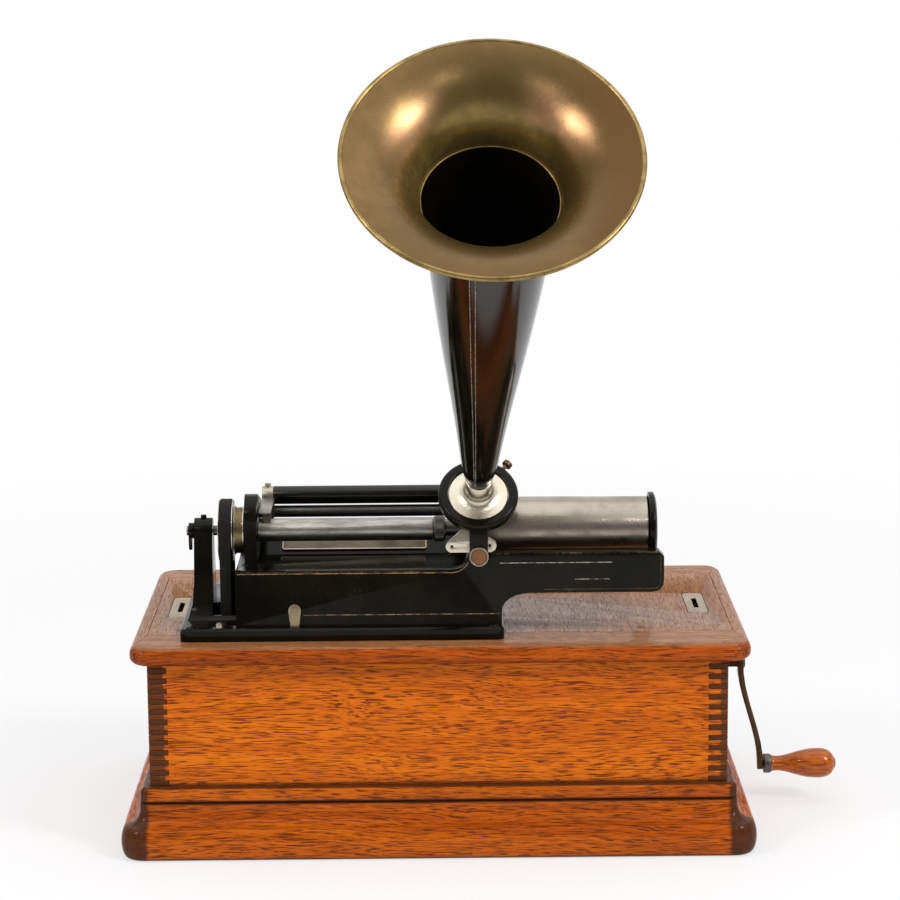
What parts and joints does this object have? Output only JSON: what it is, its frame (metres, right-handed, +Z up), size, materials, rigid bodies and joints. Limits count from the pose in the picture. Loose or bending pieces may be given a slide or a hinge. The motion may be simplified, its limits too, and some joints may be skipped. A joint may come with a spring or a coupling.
{
  "type": "cylinder phonograph",
  "caption": "Spring-driven cylinder phonograph in an oak case, with a black and brass horn on a sliding reproducer arm, a hinged deck and a winding crank.",
  "frame": {"origin": "centre of the cabinet's flat underside", "axes": "+Z up, +X to the right of someone facing the horn, towards the crank, +Y to the back; the horn points towards -Y and +Z"},
  "size_m": [0.4993, 0.5267, 0.555],
  "materials": {
    "oak": "satin varnish",
    "deck_oak": "worn varnish",
    "japanned_iron": "gloss black",
    "japanned_metal": "gloss black",
    "nickel": "satin nickel",
    "steel": "satin",
    "brass": "aged satin",
    "copper_bronze": "aged satin",
    "leather": "matt black",
    "handle_wood": "gloss varnish",
    "mica": "satin"
  },
  "bodies": {
    "cabinet": {"wall_front": "oak", "wall_back": "oak", "wall_left": "oak", "wall_right": "oak", "bottom_board": "oak", "plinth_front": "oak", "plinth_back": "oak", "plinth_left": "oak", "plinth_right": "oak", "hinge_lower_left": "nickel", "hinge_lower_right": "nickel", "crank_bush": "brass"},
    "deck": {"deck_front": "oak", "deck_back": "oak", "deck_left": "oak", "deck_right": "oak", "deck_panel": "deck_oak", "catch_plate_left": "nickel", "catch_plate_right": "nickel", "hinge_upper_left": "nickel", "hinge_upper_right": "nickel", "bed_casting": "japanned_iron", "blank_plate": "nickel", "drive_belt": "leather", "motor_frame": "japanned_iron", "gate_pin": "steel"},
    "speed_screw": {"speed_screw": "nickel"},
    "start_lever": {"start_lever": "brass"},
    "centre_screw": {"centre_screw": "steel"},
    "wing_nut": {"wing_nut": "japanned_metal"},
    "mandrel_set": {"main_shaft": "steel", "belt_wheel": "japanned_metal", "brass_drum": "brass", "feed_screw": "steel", "screw_collar": "japanned_metal", "mandrel": "nickel"},
    "back_rod": {"back_rod": "japanned_metal"},
    "carriage": {"carriage_tube": "japanned_metal", "tube_bracket": "nickel", "feed_nut": "brass", "feed_nut_arm": "steel", "speaker_arm": "japanned_iron", "guide_plate": "nickel", "reproducer_body": "nickel", "diaphragm": "mica", "reproducer_dish": "nickel"},
    "arm_knob": {"arm_knob": "copper_bronze"},
    "ring_thumb_screw": {"ring_thumb_screw": "copper_bronze"},
    "stylus_weight": {"stylus_weight": "nickel"},
    "horn": {"horn_cone": "japanned_metal", "horn_bell": "brass"},
    "end_gate": {"end_gate": "japanned_iron"},
    "winding_shaft": {"winding_shaft": "steel"},
    "barrel_arbor": {"barrel_arbor": "steel"},
    "spring_barrel": {"spring_barrel": "brass"},
    "intermediate_gear": {"intermediate_gear": "brass"},
    "drive_pulley": {"drive_pulley": "steel"},
    "governor": {"governor": "brass"},
    "crank": {"crank": "steel"},
    "crank_handle": {"crank_handle": "handle_wood"}
  },
  "joints": [
    {"name": "deck_lift", "type": "hinge", "parent": "cabinet", "child": "deck", "pos_m": [0, 0.109, 0.1305], "axis": [-1, 0, 0], "range_deg": [0, 70]},
    {"name": "mandrel_spin", "type": "hinge", "parent": "deck", "child": "mandrel_set", "pos_m": [0, -0.05, 0.212], "axis": [1, 0, 0], "continuous": true},
    {"name": "speed_screw_turn", "type": "hinge", "parent": "deck", "child": "speed_screw", "pos_m": [-0.1469, -0.09705, 0.1547], "axis": [0, 0, 1], "continuous": true},
    {"name": "start_lever_slide", "type": "slide", "parent": "deck", "child": "start_lever", "axis": [-1, 0, 0], "range_m": [0, 0.022]},
    {"name": "centre_screw_turn", "type": "hinge", "parent": "deck", "child": "centre_screw", "pos_m": [-0.16, -0.05, 0.212], "axis": [1, 0, 0], "continuous": true},
    {"name": "wing_nut_turn", "type": "hinge", "parent": "deck", "child": "wing_nut", "pos_m": [-0.165, -0.05, 0.212], "axis": [1, 0, 0], "continuous": true},
    {"name": "carriage_lift", "type": "hinge", "parent": "deck", "child": "back_rod", "pos_m": [0, 0, 0.2144], "axis": [-1, 0, 0], "range_deg": [0, 30]},
    {"name": "carriage_travel", "type": "slide", "parent": "back_rod", "child": "carriage", "axis": [1, 0, 0], "range_m": [0, 0.105]},
    {"name": "arm_knob_turn", "type": "hinge", "parent": "carriage", "child": "arm_knob", "pos_m": [0.0282, -0.1, 0.2035], "axis": [0, 1, 0], "continuous": true},
    {"name": "thumb_screw_turn", "type": "hinge", "parent": "carriage", "child": "ring_thumb_screw", "pos_m": [0.02822, -0.0801, 0.24107], "axis": [0.6293, 0.5466, 0.5525], "continuous": true},
    {"name": "weight_float", "type": "hinge", "parent": "carriage", "child": "stylus_weight", "pos_m": [0.02807, -0.05968, 0.24776], "axis": [0.9999, 0.0107, -0.0103], "range_deg": [0, 4]},
    {"name": "horn_pull", "type": "slide", "parent": "carriage", "child": "horn", "axis": [0.0148, -0.7193, 0.6946], "range_m": [0, 0.06]},
    {"name": "gate_swing", "type": "hinge", "parent": "deck", "child": "end_gate", "pos_m": [0.146, 0.016, 0.178], "axis": [0, 0, 1], "range_deg": [0, 100]},
    {"name": "winding_shaft_turn", "type": "hinge", "parent": "deck", "child": "winding_shaft", "pos_m": [0.12, 0, 0.1015], "axis": [1, 0, 0], "continuous": true},
    {"name": "barrel_arbor_turn", "type": "hinge", "parent": "deck", "child": "barrel_arbor", "pos_m": [0, 0.02, 0.06802], "axis": [1, 0, 0], "continuous": true},
    {"name": "barrel_spin", "type": "hinge", "parent": "deck", "child": "spring_barrel", "pos_m": [0, 0.02, 0.06802], "axis": [1, 0, 0], "continuous": true},
    {"name": "intermediate_spin", "type": "hinge", "parent": "deck", "child": "intermediate_gear", "pos_m": [0, -0.026, 0.03973], "axis": [1, 0, 0], "continuous": true},
    {"name": "pulley_spin", "type": "hinge", "parent": "deck", "child": "drive_pulley", "pos_m": [0, -0.05, 0.06657], "axis": [1, 0, 0], "continuous": true},
    {"name": "governor_spin", "type": "hinge", "parent": "deck", "child": "governor", "pos_m": [0, -0.034, 0.0937], "axis": [1, 0, 0], "continuous": true},
    {"name": "crank_turn", "type": "hinge", "parent": "cabinet", "child": "crank", "pos_m": [0.2, 0, 0.1015], "axis": [1, 0, 0], "continuous": true},
    {"name": "handle_spin", "type": "hinge", "parent": "crank", "child": "crank_handle", "pos_m": [0.25, 0, 0.027], "axis": [1, 0, 0], "continuous": true}
  ],
  "couplings": [
    {"joint": "pulley_spin", "follows": "mandrel_spin", "ratio": 1.2367},
    {"joint": "intermediate_spin", "follows": "mandrel_spin", "ratio": -0.61834},
    {"joint": "barrel_spin", "follows": "mandrel_spin", "ratio": 0.17667},
    {"joint": "governor_spin", "follows": "mandrel_spin", "ratio": -2.0096},
    {"joint": "winding_shaft_turn", "follows": "crank_turn", "ratio": 1},
    {"joint": "barrel_arbor_turn", "follows": "crank_turn", "ratio": -0.73333}
  ]
}
